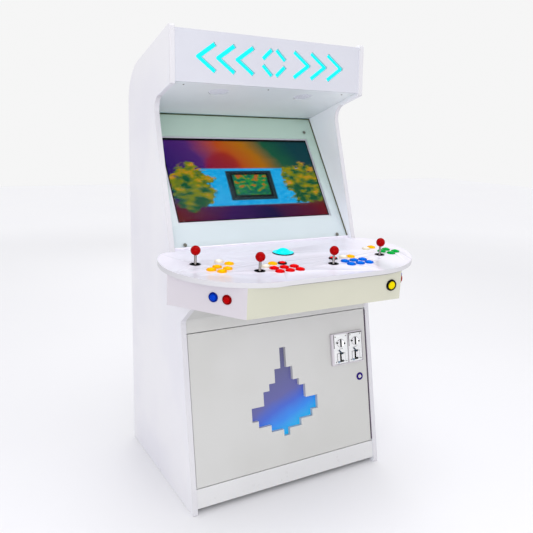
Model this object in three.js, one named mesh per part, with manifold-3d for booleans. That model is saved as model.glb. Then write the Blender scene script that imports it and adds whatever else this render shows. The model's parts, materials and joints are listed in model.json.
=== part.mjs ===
// Four-player stand-up arcade cabinet: flat white panels between two shaped sides, a wide rounded control
// panel on a shallow box, a sloped screen under a lit head, and a coin door.
// Millimetres, +Z up. The front faces -Y; the origin is on the floor under the middle of the whole cabinet.
import * as THREE from 'three';
import { mergeVertices } from 'three/addons/utils/BufferGeometryUtils.js';
import Module from 'manifold-3d';

const wasm = await Module();
wasm.setup();

// ---- driving dimensions ------------------------------------------------------------------------------
const WIDTH = 840;            // over the two side panels
const SIDE = 20;              // side panel thickness
const BOARD = 18;             // control panel and control box boards
const PANEL = 12;             // thin fixed panels
const GAP = 0.4;              // clearance between neighbouring pieces
const HALF = WIDTH / 2;
const INNER = HALF - SIDE;    // half the clear width between the sides
const FIT = INNER - GAP;      // half the width of a panel fitted between the sides

const BACK = 489;             // rear face of the cabinet
const FOOT = -240;            // front of the side panels at the floor
const LEAN = rad(9.38);       // how far the lower front leans back
const KNEE = 704;             // height where the lower front turns out to the control box
const HEAD_FRONT = -29;       // front edge of the head
const HEAD_BOTTOM = 1552;
const HEAD_TOP = 1762;
const HEAD_SLOPE = rad(15.1); // roof and speaker panel fall to the rear by this

const DECK_TILT = rad(4);     // control panel falls to the front by this
const DECK_HEIGHT = 943;      // control panel top at y = 0
const DECK_HALF = 508;        // half the control panel's width
const DECK_FRONT = -490;      // its front edge, along the tilted deck
const BOX_DEPTH = 108;        // height of the control box walls

// Screen glass: top and bottom edges of its front face.
const GLASS_TOP = new THREE.Vector2(364, 1458);
const GLASS_BOTTOM = new THREE.Vector2(13, 950);
const GLASS = 5;

function rad(degrees) {
  return degrees * Math.PI / 180;
}

// ---- finishes ----------------------------------------------------------------------------------------
const finish = (color, roughness = 0.5, metalness = 0, extra = {}) =>
  new THREE.MeshStandardMaterial({ color, roughness, metalness, ...extra });
const looks = {
  white: finish(0xe9e8ef, 0.35),
  dark: finish(0x2a2a2e, 0.6),
  glass: finish(0xdfeee6, 0.05, 0, { transparent: true, opacity: 0.35 }),
  screen: finish(0x20232c, 0.2),
  light: finish(0x00e5ff, 0.4, 0, { emissive: 0x00e5ff }),
  doorLight: finish(0x7a86c8, 0.4, 0, { emissive: 0x1c6cff }),
  metal: finish(0xb9bcc0, 0.25, 1),
  black: finish(0x101012, 0.45),
  red: finish(0xd50012, 0.25),
  blue: finish(0x0a4fe0, 0.25),
  yellow: finish(0xffc400, 0.25),
  green: finish(0x12b32c, 0.25),
  cyan: finish(0x22d8e8, 0.1),
};

const group = new THREE.Group();

// ---- small tools ---------------------------------------------------------------------------------------
function piece(parent, name, geometry, look) {
  const mesh = new THREE.Mesh(geometry, looks[look]);
  mesh.name = name;
  parent.add(mesh);
  return mesh;
}

// A nested group at a place, turned about X (then Z inside it), for pieces that share a sloped plane.
function frameAt(parent, x, y, z, tilt, turn = 0) {
  const frame = new THREE.Group();
  frame.position.set(x, y, z);
  frame.rotation.set(tilt, 0, turn, 'XYZ');
  parent.add(frame);
  return frame;
}

// Corners [x, y, radius] become a closed outline, each corner rounded to its radius.
function outline(corners, steps = 6) {
  const points = [];
  corners.forEach(([x, y, radius = 0], i) => {
    const at = new THREE.Vector2(x, y);
    if (!radius) {
      points.push(at);
      return;
    }
    const [px, py] = corners.at(i - 1);
    const [nx, ny] = corners[(i + 1) % corners.length];
    const back = new THREE.Vector2(px, py).sub(at).normalize();
    const ahead = new THREE.Vector2(nx, ny).sub(at).normalize();
    const half = Math.acos(THREE.MathUtils.clamp(back.dot(ahead), -1, 1)) / 2;
    const middle = back.clone().add(ahead).normalize();
    const centre = at.clone().addScaledVector(middle, radius / Math.sin(half));
    const start = at.clone().addScaledVector(back, radius / Math.tan(half)).sub(centre);
    const end = at.clone().addScaledVector(ahead, radius / Math.tan(half)).sub(centre);
    const turn = Math.atan2(start.cross(end), start.dot(end));
    for (let k = 0; k <= steps; k += 1) {
      points.push(start.clone().rotateAround(new THREE.Vector2(), turn * k / steps).add(centre));
    }
  });
  return new THREE.Shape(points);
}

// A side view (y across, z up) made solid from x0 to x1.
function acrossX(shape, x0, x1) {
  const geometry = new THREE.ExtrudeGeometry(shape, { depth: x1 - x0, bevelEnabled: false, curveSegments: 8 });
  const basis = new THREE.Matrix4().makeBasis(
    new THREE.Vector3(0, 1, 0), new THREE.Vector3(0, 0, 1), new THREE.Vector3(1, 0, 0));
  return geometry.applyMatrix4(basis).translate(x0, 0, 0);
}

// A plan (x, y) made solid from z0 to z1.
function upZ(shape, z0, z1, segments = 8) {
  const settings = { depth: z1 - z0, bevelEnabled: false, curveSegments: segments };
  return new THREE.ExtrudeGeometry(shape, settings).translate(0, 0, z0);
}

function block(x0, x1, y0, y1, z0, z1) {
  return new THREE.BoxGeometry(x1 - x0, y1 - y0, z1 - z0)
    .translate((x0 + x1) / 2, (y0 + y1) / 2, (z0 + z1) / 2);
}

// [radius, height] pairs turned about Z; the profile starts and ends on the axis, going up.
function turned(profile, segments = 12) {
  return new THREE.LatheGeometry(profile.map(([r, z]) => new THREE.Vector2(r, z)), segments)
    .rotateX(Math.PI / 2);
}

// The part of a ball's profile from one polar angle to another, as [radius, height] pairs.
function ballProfile(radius, centre, from, to, steps) {
  return Array.from({ length: steps + 1 }, (_, k) => {
    const angle = from + (to - from) * k / steps;
    return [radius * Math.sin(angle), centre - radius * Math.cos(angle)];
  });
}

function rod(x, y, radius, z0, z1, segments = 14) {
  return turned([[0, z0], [radius, z0], [radius, z1], [0, z1]], segments).translate(x, y, 0);
}

// ---- booleans ------------------------------------------------------------------------------------------
function solid(geometry) {
  const bare = geometry.clone();
  bare.deleteAttribute('normal');
  bare.deleteAttribute('uv');
  const merged = mergeVertices(bare, 1e-4);
  return new wasm.Manifold(new wasm.Mesh({
    numProp: 3, vertProperties: merged.attributes.position.array, triVerts: Uint32Array.from(merged.index.array),
  }));
}

function surface(body) {
  const mesh = body.getMesh();
  const geometry = new THREE.BufferGeometry();
  geometry.setAttribute('position', new THREE.BufferAttribute(mesh.vertProperties, 3));
  geometry.setIndex(new THREE.BufferAttribute(mesh.triVerts, 1));
  return geometry;
}

const cut = (geometry, ...tools) => surface(tools.reduce((body, tool) => body.subtract(solid(tool)),
  solid(geometry)));
const join = (geometry, ...more) => surface(more.reduce((body, other) => body.add(solid(other)),
  solid(geometry)));

// ---- places in the side view ---------------------------------------------------------------------------
// A point on the lower front plane, measured up along it from the floor, and in behind it.
function onFront(along, inward = 0) {
  return [FOOT + along * Math.sin(LEAN) + inward * Math.cos(LEAN),
    along * Math.cos(LEAN) - inward * Math.sin(LEAN)];
}

// A point of the tilted deck, from its own (along, height) to the side view.
function onDeck(along, height) {
  return [along * Math.cos(DECK_TILT) - height * Math.sin(DECK_TILT),
    DECK_HEIGHT + along * Math.sin(DECK_TILT) + height * Math.cos(DECK_TILT)];
}

const kneeY = FOOT + KNEE * Math.tan(LEAN);
const KNEE_SLOPE = rad(36);         // rise of the edge that runs out from the knee
const ARM = { reach: -275, top: -88, neck: -150 };  // the sides' arms inside the control box, on the deck
const roofZ = (y) => HEAD_TOP - (y - HEAD_FRONT) * Math.tan(HEAD_SLOPE);
const NOTCH = [161, 1501];          // corner under the head
const THROAT = -15.5;               // front edge of the sides where they leave the deck
const REAR_RADIUS = 185;

// ---- carcass -------------------------------------------------------------------------------------------
function sidePanel() {
  const [armY, armTop] = onDeck(ARM.reach, ARM.top);
  const armBottom = KNEE + (kneeY - armY) * Math.tan(KNEE_SLOPE);
  return outline([
    [FOOT, 0, 4], [BACK, 0, 4], [BACK, roofZ(BACK), REAR_RADIUS], [HEAD_FRONT, HEAD_TOP, 11],
    [HEAD_FRONT, HEAD_BOTTOM, 8], [...NOTCH, 55],
    onDeck(THROAT, 0), onDeck(THROAT, -BOARD - GAP),
    onDeck(ARM.neck, -BOARD - GAP), onDeck(ARM.neck, ARM.top), [armY, armTop], [armY, armBottom],
    [kneeY, KNEE, 22],
  ], 14);
}

function addSides() {
  piece(group, 'left_side_panel', acrossX(sidePanel(), -HALF, -INNER), 'white');
  piece(group, 'right_side_panel', acrossX(sidePanel(), INNER, HALF), 'white');
}

const ROOF_DROP = 10;        // roof panel sits below the edge of the sides
const ROOF = 15;
const SEAM = 1300;           // height of the joint between roof panel and rear panel

// The roof panel follows the sides over the top and down the back.
function addRoof() {
  const skin = (drop, frontY) => [
    [frontY, roofZ(frontY) - drop / Math.cos(HEAD_SLOPE)],
    [BACK - drop, roofZ(BACK - drop) - drop / Math.cos(HEAD_SLOPE), REAR_RADIUS - drop],
    [BACK - drop, SEAM],
  ];
  const front = HEAD_FRONT + 4 + PANEL + GAP;
  const section = outline([...skin(ROOF_DROP, front), ...skin(ROOF_DROP + ROOF, front).reverse()], 14);
  piece(group, 'roof_panel', acrossX(section, -FIT, FIT), 'white');
}

const VENT = { rows: 7, pitch: 26, height: 8, half: 150, base: 1040 };
const INLET = { x: 300, z: 130, halfWide: 24, halfHigh: 30 };

function addRear() {
  const [front, face] = [BACK - ROOF_DROP - ROOF, BACK - ROOF_DROP];
  const through = (x0, x1, z0, z1) => block(x0, x1, front - 5, face + 5, z0, z1);
  const vents = Array.from({ length: VENT.rows }, (_, row) => {
    const z = VENT.base + row * VENT.pitch;
    return through(-VENT.half, VENT.half, z, z + VENT.height);
  });
  const { x, z, halfWide, halfHigh } = INLET;
  const window = through(x - halfWide, x + halfWide, z - halfHigh, z + halfHigh);
  piece(group, 'rear_panel', cut(block(-FIT, FIT, front, face, 12, SEAM - GAP), window, ...vents), 'white');

  const body = block(x - halfWide + 1, x + halfWide - 1, face - 42, face + 2, z - halfHigh + 1, z + halfHigh - 1);
  const flange = block(x - halfWide - 10, x + halfWide + 10, face + GAP, face + 3, z - halfHigh - 4, z + halfHigh + 4);
  const socket = block(x - 14, x + 14, face - 18, face + 8, z - 24, z + 2);
  piece(group, 'power_inlet', cut(join(body, flange), socket), 'black');
}

const BASE_LIFT = 22;        // underside of the base and kick plate above the floor
const BASE_TOP = 60;         // floor inside the cabinet
const RECESS = 4;            // lower front panels sit this far behind the edge of the sides
const DOOR = { bottom: 96, top: 664, thick: 18, gap: 2.5, latchGap: 5.5 };

function addBase() {
  const [frontY] = onFront(BASE_TOP + 4, RECESS + BOARD + GAP);
  const back = BACK - ROOF_DROP - ROOF - GAP;
  piece(group, 'base_panel', block(-FIT, FIT, frontY, back, BASE_TOP - BOARD, BASE_TOP), 'white');
  const kick = outline([
    onFront(BASE_LIFT, RECESS), onFront(DOOR.bottom - DOOR.gap, RECESS),
    onFront(DOOR.bottom - DOOR.gap, RECESS + BOARD), onFront(BASE_LIFT, RECESS + BOARD)]);
  piece(group, 'kick_plate', acrossX(kick, -FIT, FIT), 'white');
}

// Where the outward slope above the knee, moved inward, meets the knee line and the control box's underside.
function slopeEnds(inward) {
  const [cosine, sine] = [Math.cos(KNEE_SLOPE), Math.sin(KNEE_SLOPE)];
  const turn = Math.cos(LEAN) * cosine + Math.sin(LEAN) * sine;
  const y = kneeY + inward * (cosine + Math.sin(LEAN)) / turn;
  const z = KNEE + inward * (Math.cos(LEAN) - sine) / turn;
  const underside = DECK_HEIGHT - (BOARD + 2 * GAP + BOX_DEPTH) / Math.cos(DECK_TILT);
  const run = (underside + Math.tan(DECK_TILT) * y - z) / (sine + Math.tan(DECK_TILT) * cosine);
  return [[y, z], [y - run * cosine, z + run * sine]];
}

// The fixed rail over the door bends at the knee and runs out under the control box.
function addFrontRail() {
  const inner = RECESS + 15;
  const [outerKnee, outerTip] = slopeEnds(RECESS);
  const [innerKnee, innerTip] = slopeEnds(inner);
  const section = outline([
    onFront(DOOR.top + DOOR.gap, RECESS), onFront(DOOR.top + DOOR.gap, inner),
    [...innerKnee, 8], innerTip, outerTip, [...outerKnee, 22]], 4);
  piece(group, 'front_rail', acrossX(section, -FIT, FIT), 'white');
}

// ---- head ----------------------------------------------------------------------------------------------
const MARQUEE = { recess: 4, bottom: 1562, top: 1748, signBottom: 1596, signTop: 1713, stroke: 17 };
const SIGN_TIPS = [316, 238, 160]; // points of the arrowheads, out from the middle

// A straight bar with square ends, between two points of the marquee's face, deep enough to cut through it.
function stroke([x0, z0], [x1, z1]) {
  const length = Math.hypot(x1 - x0, z1 - z0);
  return new THREE.BoxGeometry(length, 4 * PANEL, MARQUEE.stroke)
    .rotateY(-Math.atan2(z1 - z0, x1 - x0))
    .translate((x0 + x1) / 2, HEAD_FRONT + MARQUEE.recess + PANEL / 2, (z0 + z1) / 2);
}

// Arrowheads point out from a split diamond; light shows through them.
function signCuts() {
  const { signBottom: low, signTop: high, stroke: width } = MARQUEE;
  const middle = (low + high) / 2;
  const edge = width / 2;
  const arm = 72;
  const chevron = (side, tip) => [
    stroke([side * (tip - arm), high - edge], [side * tip, middle - 4]),
    stroke([side * tip, middle + 4], [side * (tip - arm), low + edge])];
  const half = (side) => [
    ...SIGN_TIPS.flatMap((tip) => chevron(side, tip)),
    stroke([side * 9, high - edge], [side * 49, middle + 11]),
    stroke([side * 49, middle - 11], [side * 9, low + edge])];
  return [...half(-1), ...half(1)];
}

function addMarquee() {
  const front = HEAD_FRONT + MARQUEE.recess;
  const sheet = block(-FIT, FIT, front, front + PANEL, MARQUEE.bottom, MARQUEE.top);
  piece(group, 'marquee_panel', cut(sheet, ...signCuts()), 'white');
  const inside = front + PANEL + GAP;
  piece(group, 'marquee_diffuser',
    block(-360, 360, inside, inside + 4, MARQUEE.signBottom - 14, MARQUEE.signTop + 14), 'light');
}

const SPEAKER = { x: 189, along: 90, mouth: 40, clear: 6 };
// Half section of a speaker driver, from the middle of its cone out over the rim and down to the magnet.
const driverProfile = [[0, 12], [22, 12], [42, 4], [42, 0], [48, 0], [48, 5], [27, 26], [27, 42], [0, 42]];

// The speaker panel closes the head from below; two speakers stand on it.
function addSpeakers() {
  const start = [HEAD_FRONT + MARQUEE.recess + PANEL + GAP, MARQUEE.bottom + 1];
  const slope = Math.atan2(GLASS_TOP.y - start[1], GLASS_TOP.x - start[0]);
  const length = Math.hypot(GLASS_TOP.x - start[0], GLASS_TOP.y - start[1]) - SPEAKER.clear;
  const frame = frameAt(group, 0, start[0], start[1], slope);
  const mouths = [-1, 1].map((side) => rod(side * SPEAKER.x, SPEAKER.along, SPEAKER.mouth, -5, PANEL + 5, 20));
  piece(frame, 'speaker_panel', cut(block(-FIT, FIT, 0, length, 0, PANEL), ...mouths), 'white');
  for (const [name, side] of [['left_speaker', -1], ['right_speaker', 1]]) {
    const driver = turned(driverProfile, 16).translate(side * SPEAKER.x, SPEAKER.along, PANEL + GAP);
    piece(frame, name, driver, 'black');
  }
}

// ---- screen --------------------------------------------------------------------------------------------
const MONITOR = { wide: 732, high: 426, deep: 46, top: 97, behind: 15 };

// The screen's own frame lies in the glass face: x across, y down along the glass from its top edge, z outward.
function addScreen() {
  const run = GLASS_TOP.clone().sub(GLASS_BOTTOM);
  const length = run.length();
  const frame = frameAt(group, 0, GLASS_TOP.x, GLASS_TOP.y, Math.atan2(run.y, run.x));
  piece(frame, 'screen_glass', block(-FIT, FIT, -length, 0, -GLASS, 0), 'glass');
  const face = -MONITOR.behind;
  const { wide, high, deep, top } = MONITOR;
  const body = block(-wide / 2, wide / 2, -top - high, -top, face - deep, face);
  const ears = block(-FIT, FIT, -top - high * 0.75, -top - high * 0.25, face - deep - 4, face - deep + 6);
  piece(frame, 'monitor', join(body, ears), 'screen');
}

const COMPUTER = { wide: 300, deep: 220, high: 90, front: 180 };

function addComputer() {
  const floor = BASE_TOP + GAP;
  const { wide, deep, high, front } = COMPUTER;
  const shell = block(-wide / 2, wide / 2, front, front + deep, floor, floor + high);
  piece(group, 'game_computer', shell, 'dark');
}

// ---- control deck --------------------------------------------------------------------------------------
const deck = frameAt(group, 0, 0, DECK_HEIGHT, DECK_TILT);
const WAIST = -190;          // where the control panel is widest
const SHOULDER = { x: HALF + 3, wide: DECK_HALF - HALF - 3, deep: THROAT - GAP - WAIST };
const NOSE = { x: 190, wide: DECK_HALF - 190, deep: WAIST - DECK_FRONT };
const BUTTON = { cap: 11.9, hole: 12.6, rise: 9, crown: 4, depth: 15 };
const PITCH = { across: 40.5, deep: 42 };
const STICK = { hole: 14, pivot: -36, ball: 17.5, centre: 50, shaft: 4.75 };
const BALL = {
  x: -18, y: -154, radius: 38.1, centre: -18.5, lip: 31.8, collar: 41.6, rise: 4.5, play: 1.2, shell: 56, wall: 6,
};

// Each player's stick, button grid (lower left button, columns, rows, turn) and colour.
const players = [
  { stick: [-218, -350], grid: [-156, -381], turn: 0, columns: 3, rows: 2, look: 'red' },
  { stick: [84, -352], grid: [145, -381], turn: 0, columns: 3, rows: 2, look: 'blue' },
  { stick: [-394, -201], grid: [-370, -287], turn: rad(-51), columns: 2, rows: 2, look: 'yellow' },
  { stick: [341, -295], grid: [401, -292], turn: rad(27), columns: 2, rows: 2, look: 'green' },
];

function buttonPlaces({ grid, turn, columns, rows }) {
  const places = [];
  for (let row = 0; row < rows; row += 1) {
    for (let column = 0; column < columns; column += 1) {
      const step = new THREE.Vector2(column * PITCH.across, row * PITCH.deep)
        .rotateAround(new THREE.Vector2(), turn);
      places.push([grid[0] + step.x, grid[1] + step.y]);
    }
  }
  return places;
}

function deckOutline() {
  const shape = new THREE.Shape();
  const notch = THROAT - GAP;
  shape.moveTo(-FIT, notch);
  shape.lineTo(-SHOULDER.x, notch);
  shape.absellipse(-SHOULDER.x, WAIST, SHOULDER.wide, SHOULDER.deep, Math.PI / 2, Math.PI, false, 0);
  shape.absellipse(-NOSE.x, WAIST, NOSE.wide, NOSE.deep, Math.PI, Math.PI * 1.5, false, 0);
  shape.absellipse(NOSE.x, WAIST, NOSE.wide, NOSE.deep, Math.PI * 1.5, Math.PI * 2, false, 0);
  shape.absellipse(SHOULDER.x, WAIST, SHOULDER.wide, SHOULDER.deep, 0, Math.PI / 2, false, 0);
  shape.lineTo(SHOULDER.x, notch);
  shape.lineTo(FIT, notch);
  shape.lineTo(FIT, 6);
  shape.lineTo(-FIT, 6);
  return shape;
}

function addControlPanel() {
  const through = (radius) => ([x, y]) => rod(x, y, radius, -BOARD - 5, 5);
  const holes = players.flatMap((player) => [
    through(STICK.hole)(player.stick), ...buttonPlaces(player).map(through(BUTTON.hole))]);
  const ballHole = rod(BALL.x, BALL.y, BALL.collar + GAP, -BOARD - 5, 5, 20);
  piece(deck, 'control_panel', cut(upZ(deckOutline(), -BOARD, 0, 18), ballHole, ...holes), 'white');
}

// Box corners from the front middle round to the side panel.
const BOX = { front: -464, frontHalf: 318, end: [503, -226], tail: [HALF + GAP, -60] };

function boxOutline(inset) {
  const [endX, endY] = BOX.end;
  const [tailX, tailY] = BOX.tail;
  const right = [
    [BOX.frontHalf - inset * 0.6, BOX.front + inset], [endX - inset * 1.15, endY + inset * 0.1],
    [inset ? tailX + 6 : tailX, tailY - inset]];
  const left = right.map(([x, y]) => [-x, y]).reverse();
  return outline([...left, ...right]);
}

const SIDE_BUTTON = { radius: 11.9, hole: 12.6, height: -69, inset: 73, pitch: 51 };
const FRONT_BUTTON = { x: 272, height: -69, radius: 15, hole: 16, rise: 10.5 };

// A frame on an angled wall of the box, z pointing straight out of it, x along the wall.
function wallFrame(side) {
  const [endX, endY] = BOX.end;
  const heading = Math.atan2(endY - BOX.front, endX - BOX.frontHalf);
  const frame = new THREE.Group();
  const out = new THREE.Vector3(side * Math.sin(heading), -Math.cos(heading), 0);
  const up = new THREE.Vector3(0, 0, 1);
  const basis = new THREE.Matrix4().makeBasis(new THREE.Vector3().crossVectors(up, out), up, out);
  basis.setPosition(side * BOX.frontHalf, BOX.front, SIDE_BUTTON.height);
  frame.applyMatrix4(basis);
  deck.add(frame);
  return frame;
}

// Distance of the two wall buttons from the front corner, along the wall.
const wallButtons = [0, 1].map((k) => SIDE_BUTTON.inset + k * SIDE_BUTTON.pitch);

function bore(frame, x, y, radius, depth) {
  const tool = new THREE.CylinderGeometry(radius, radius, depth * 2, 14).rotateX(Math.PI / 2).translate(x, y, 0);
  frame.updateWorldMatrix(true, false);
  deck.updateWorldMatrix(true, false);
  return tool.applyMatrix4(deck.matrixWorld.clone().invert().multiply(frame.matrixWorld));
}

const frontFrame = new THREE.Group();
frontFrame.position.set(FRONT_BUTTON.x, BOX.front, FRONT_BUTTON.height);
frontFrame.rotation.x = Math.PI / 2;
deck.add(frontFrame);
const leftWall = wallFrame(-1);
const rightWall = wallFrame(1);

function addControlBox() {
  const top = -BOARD - GAP;
  const bottom = top - BOX_DEPTH;
  const outer = upZ(boxOutline(0), bottom, top);
  const inner = upZ(boxOutline(BOARD), bottom + PANEL, top + 10);
  const throat = block(-INNER - 0.1, INNER + 0.1, -185, 100, bottom - 10, top + 10);
  const slots = [-1, 1].map((side) => {
    const [a, b] = [side * (INNER - GAP), side * (HALF + GAP)];
    return block(Math.min(a, b), Math.max(a, b), ARM.reach - 8, 100, bottom - 10, top + 10);
  });
  const bores = [bore(frontFrame, 0, 0, FRONT_BUTTON.hole, BOARD + 4)];
  for (const [frame, side] of [[leftWall, -1], [rightWall, 1]]) {
    for (const along of wallButtons) {
      bores.push(bore(frame, side * along, 0, SIDE_BUTTON.hole, BOARD + 4));
    }
  }
  piece(deck, 'control_box', cut(outer, inner, throat, ...slots, ...bores), 'white');
}

// A push button's moving cap: a domed top above the panel and a plunger through it.
function plunger(radius, rise = BUTTON.rise, depth = BUTTON.depth) {
  return turned([[0, -depth], [radius - 2, -depth], [radius, -depth + 2], [radius, rise - BUTTON.crown],
    [radius * 0.72, rise - BUTTON.crown * 0.35], [0, rise]], 12);
}

function addButtons() {
  players.forEach((player, index) => {
    buttonPlaces(player).forEach(([x, y], k) => {
      const name = `player_${index + 1}_button_${k + 1}`;
      piece(deck, name, plunger(BUTTON.cap).translate(x, y, 0), player.look);
    });
  });
  piece(frontFrame, 'front_button', plunger(FRONT_BUTTON.radius, FRONT_BUTTON.rise), 'yellow');
  for (const [frame, side, label] of [[leftWall, -1, 'left'], [rightWall, 1, 'right']]) {
    wallButtons.forEach((along, k) => {
      const name = `${label}_side_button_${k + 1}`;
      piece(frame, name, plunger(SIDE_BUTTON.radius).translate(side * along, 0, 0), k ? 'blue' : 'red');
    });
  }
}

// A stick turns in its pivot ring, and the ring turns across it in the joystick's frame under the panel.
function addSticks() {
  const { pivot, ball, centre, shaft } = STICK;
  const neck = Math.asin(shaft / ball);
  const profile = [[0, pivot - 26], [shaft, pivot - 26], [shaft, pivot - 3], [8, pivot - 3], [8, pivot + 3],
    [shaft, pivot + 3], ...ballProfile(ball, centre, neck, Math.PI, 7)];
  players.forEach(({ stick: [x, y] }, index) => {
    piece(deck, `player_${index + 1}_stick`, turned(profile, 12).translate(x, y, 0), 'red');
    const ring = turned([[10.5, pivot - 4], [15, pivot - 4], [15, pivot + 4], [10.5, pivot + 4], [10.5, pivot - 4]]);
    piece(deck, `player_${index + 1}_pivot_ring`, ring.translate(x, y, 0), 'metal');
  });
}

// The ball sits low in a housing that hangs under the panel; its collar comes up through the panel.
function addTrackball() {
  const { x, y, radius, centre, lip, collar, rise, play, shell: half, wall } = BALL;
  piece(deck, 'trackball', turned(ballProfile(radius, centre, 0, Math.PI, 12), 20).translate(x, y, 0), 'cyan');
  const top = -BOARD - GAP;
  const floor = centre - radius - wall;
  const shell = block(x - half, x + half, y - half, y + half, floor - wall - 2, top);
  const neck = rod(x, y, collar, top - 1, rise, 20);
  const cup = turned([[0, floor], [radius + play, floor], [radius + play, -10], [lip, rise], [lip, rise + 2],
    [0, rise + 2]], 20).translate(x, y, 0);
  piece(deck, 'trackball_housing', cut(join(shell, neck), cup), 'black');
}

// ---- coin door -----------------------------------------------------------------------------------------
const LOCK = { x: 355, along: 379, radius: 9, behind: 8, camReach: 34, camHalf: 6 };
const SHEET = { x: [-185, 175], along: [186, 580], thick: 4 };  // lit sheet behind the cut-out
const COIN = { along: [449, 572], proud: 9, left: [228, 298], right: [303, 371], slit: [3.5, 30], slitDrop: 22 };
// The coin return, measured up from the foot of its plate.
const POCKET = { half: 20, low: 10, high: 44, wall: 4, behind: 14, clear: 1 };
const MOTIF_CELL = 27;

// Columns of the stepped cut-out in the door, from the left: [lowest cell, highest cell].
const motif = [[3, 5], [2, 5], [2, 7], [1, 8], [1, 10], [0, 13], [1, 10], [1, 8], [2, 7], [2, 5], [3, 5]];
const MOTIF_LEFT = -158;
const MOTIF_BOTTOM = 207;

function motifShape() {
  const points = [];
  const cell = (column, row) => new THREE.Vector2(MOTIF_LEFT + column * MOTIF_CELL, MOTIF_BOTTOM + row * MOTIF_CELL);
  motif.forEach(([low], column) => points.push(cell(column, low), cell(column + 1, low)));
  [...motif].reverse().forEach(([, high], k) => {
    const column = motif.length - k;
    points.push(cell(column, high), cell(column - 1, high));
  });
  const distinct = points.filter((point, k) => !point.equals(points.at(k - 1)));
  const turns = distinct.filter((point, k) => {
    const before = point.clone().sub(distinct.at(k - 1));
    const after = distinct[(k + 1) % distinct.length].clone().sub(point);
    return before.cross(after) !== 0;
  });
  return new THREE.Shape(turns);
}

// The door's own frame lies in its front face: x across, y up along the lean, z outward.
const [doorY, doorZ] = onFront(0, RECESS);
const door = frameAt(group, 0, doorY, doorZ, Math.PI / 2 - LEAN);

function coinPlate(name, [x0, x1]) {
  const [low, high] = COIN.along;
  const middle = (x0 + x1) / 2;
  const [slitWide, slitHigh] = COIN.slit;
  const plate = block(x0, x1, low, high, GAP, COIN.proud);
  const box = (half, y0, y1, z0, z1) => block(middle - half, middle + half, low + y0, low + y1, z0, z1);
  const { half, low: foot, high: head, wall, behind, clear } = POCKET;
  const back = -DOOR.thick - behind;
  const pocket = box(half + wall, foot - wall, head + wall, back, COIN.proud - 3);
  const hollow = box(half, foot, head, back + 3, COIN.proud + 4);
  const slitTop = high - COIN.slitDrop;
  const slit = block(middle - slitWide / 2, middle + slitWide / 2, slitTop - slitHigh, slitTop, -5, 20);
  piece(door, `${name}_coin_plate`, cut(join(plate, pocket), hollow, slit), 'metal');
  piece(door, `${name}_coin_flap`, box(half - clear, foot + clear, head - clear, -2, 1), 'metal');
}

function addDoor() {
  const { bottom, top, thick, gap, latchGap } = DOOR;
  const through = (x0, x1, y0, y1) => block(x0, x1, y0, y1, -thick - 5, 5);
  const sheet = block(-INNER + gap, INNER - latchGap, bottom, top, -thick, 0);
  const lockBore = rod(LOCK.x, LOCK.along, LOCK.radius + 0.6, -thick - 5, 5);
  const coinWays = [COIN.left, COIN.right].flatMap(([x0, x1]) => {
    const middle = (x0 + x1) / 2;
    const [low, high] = COIN.along;
    const half = POCKET.half + POCKET.wall + 2;
    return [through(middle - half, middle + half, low + 4, low + 50),
      through(middle - 4, middle + 4, high - 54, high - 20)];
  });
  const window = upZ(motifShape(), -thick - 5, 5);
  piece(door, 'service_door', cut(sheet, window, lockBore, ...coinWays), 'white');
  const sheetBack = -thick - GAP - SHEET.thick;
  piece(door, 'door_diffuser', block(...SHEET.x, ...SHEET.along, sheetBack, -thick - GAP), 'doorLight');
  coinPlate('left', COIN.left);
  coinPlate('right', COIN.right);
  const { x, along, radius, behind, camReach, camHalf } = LOCK;
  const end = -thick - behind;
  const barrel = turned([[0, end], [radius, end], [radius, 0.5], [radius - 1, 2.5], [0, 2.5]], 12);
  const cam = block(-camHalf, camReach, -camHalf, camHalf, end, end + 4);
  piece(door, 'door_lock', join(barrel, cam).translate(x, along, 0), 'metal');
}

addSides();
addRoof();
addRear();
addBase();
addFrontRail();
addMarquee();
addSpeakers();
addScreen();
addComputer();
addControlPanel();
addControlBox();
addButtons();
addSticks();
addTrackball();
addDoor();

export default group;
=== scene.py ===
import json
import math

import bmesh
import bpy
from mathutils import Matrix, Vector


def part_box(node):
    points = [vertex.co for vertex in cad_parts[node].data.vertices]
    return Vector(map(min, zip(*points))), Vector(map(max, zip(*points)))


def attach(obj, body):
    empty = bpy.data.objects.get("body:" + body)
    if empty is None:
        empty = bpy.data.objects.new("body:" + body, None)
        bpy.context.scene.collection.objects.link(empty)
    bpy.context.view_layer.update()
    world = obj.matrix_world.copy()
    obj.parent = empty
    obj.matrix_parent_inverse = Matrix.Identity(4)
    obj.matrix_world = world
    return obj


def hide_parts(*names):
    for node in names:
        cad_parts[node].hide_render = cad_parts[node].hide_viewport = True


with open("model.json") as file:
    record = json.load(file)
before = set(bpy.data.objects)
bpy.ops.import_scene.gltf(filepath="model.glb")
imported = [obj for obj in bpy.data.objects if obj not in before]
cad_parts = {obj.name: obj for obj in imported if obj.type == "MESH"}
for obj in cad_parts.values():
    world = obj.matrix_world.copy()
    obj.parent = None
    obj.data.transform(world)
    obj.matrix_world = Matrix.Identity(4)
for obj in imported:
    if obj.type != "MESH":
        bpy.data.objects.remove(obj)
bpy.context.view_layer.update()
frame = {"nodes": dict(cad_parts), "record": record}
joints = {joint["name"]: joint for joint in frame["record"]["behaviour"]["joints"]}
bodies = frame["record"]["behaviour"]["bodies"]
mm = 0.001
across = Vector((1, 0, 0))
print("frame loaded")


# camera first: everything else is placed from the frame

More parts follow.
